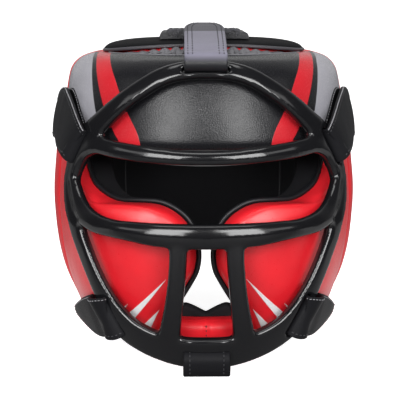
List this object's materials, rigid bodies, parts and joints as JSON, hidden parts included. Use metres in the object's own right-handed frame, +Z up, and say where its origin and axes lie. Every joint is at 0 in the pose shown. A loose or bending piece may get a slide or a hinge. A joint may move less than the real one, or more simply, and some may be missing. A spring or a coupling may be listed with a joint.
{
  "type": "martial arts head guard",
  "caption": "Padded full-face head guard with red cheek and side pads, a black striped brow and a moulded face cage held on by straps",
  "frame": {"origin": "middle of the resting box, on the surface that the guard rests on", "axes": "+X to the right as seen from the front, the face towards -Y, +Z up"},
  "size_m": [0.2426, 0.2786, 0.2429],
  "materials": {
    "striped_leather": "satin coated leather, black with plain red and grey stripes",
    "red_leather": "semi-gloss coated red leather, fine grain",
    "black_leather": "satin coated black leather",
    "lining_cloth": "matt black lining cloth",
    "lace_cord": "flat grey woven lace",
    "loop_pile": "black loop pile",
    "cage_plastic": "glossy moulded black plastic",
    "grey_strap": "semi-gloss dark strap with a pale sheen, stitched edge",
    "black_strap": "satin black strap, stitched edge"
  },
  "bodies": {
    "root": {"forehead_pad": "striped_leather", "side_pad_left": "red_leather", "side_pad_right": "red_leather", "cheek_pad_left": "red_leather", "cheek_pad_right": "red_leather", "cheek_piping_left": "black_leather", "cheek_piping_right": "black_leather", "chin_pad": "red_leather", "chin_lining": "lining_cloth", "back_pad": "black_leather", "crown_pad": "black_leather", "crown_tongue": "red_leather", "crown_lace": "lace_cord", "crown_patch": "loop_pile", "lining": "lining_cloth", "face_cage": "cage_plastic", "top_strap": "grey_strap", "temple_strap_left": "black_strap", "temple_strap_right": "black_strap", "jaw_strap_left": "black_strap", "jaw_strap_right": "black_strap", "chin_strap": "black_strap"}
  },
  "joints": []
}
